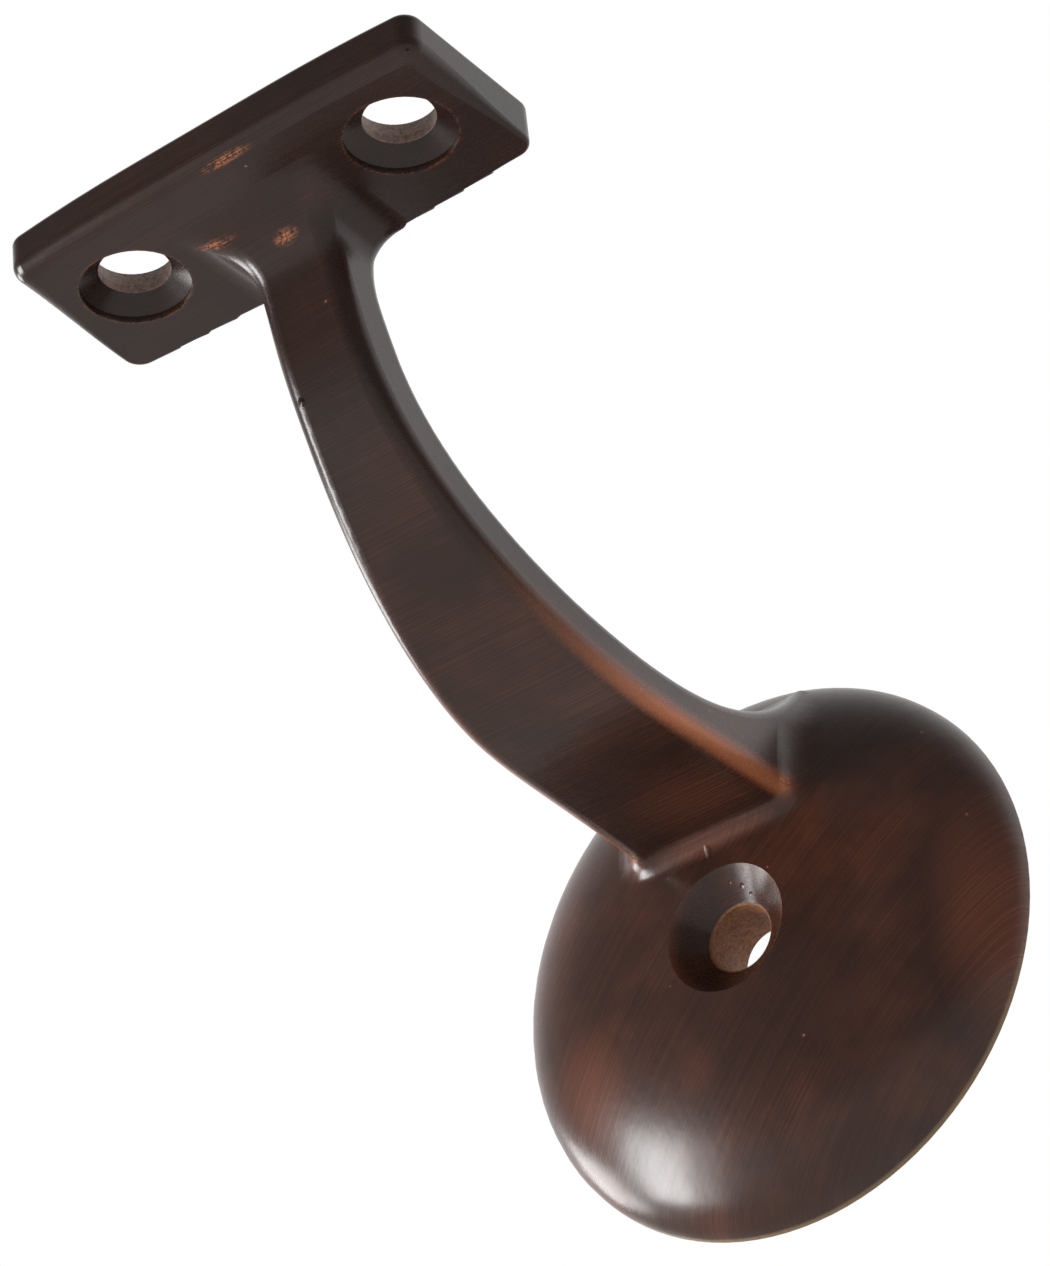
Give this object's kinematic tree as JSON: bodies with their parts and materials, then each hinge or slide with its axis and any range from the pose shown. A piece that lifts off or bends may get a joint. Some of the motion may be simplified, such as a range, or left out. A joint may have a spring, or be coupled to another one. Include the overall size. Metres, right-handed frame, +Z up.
{
  "type": "handrail bracket",
  "caption": "Cast handrail bracket: domed round wall rose with a countersunk screw hole, curved tapering arm and flat saddle plate with two rail screw holes.",
  "frame": {"origin": "centre of the rose's flat back, on the wall plane, where the wall screw's axis meets the wall", "axes": "+X along the handrail, +Y into the wall, +Z up; the bracket stands out from the wall towards -Y"},
  "size_m": [0.0635, 0.0919, 0.0917],
  "materials": {
    "oil_rubbed_bronze": "satin oil-rubbed bronze: very dark brown with copper rubbed through on edges and in fine brushed streaks"
  },
  "bodies": {
    "root": {"bracket_casting": "oil_rubbed_bronze"}
  },
  "joints": []
}
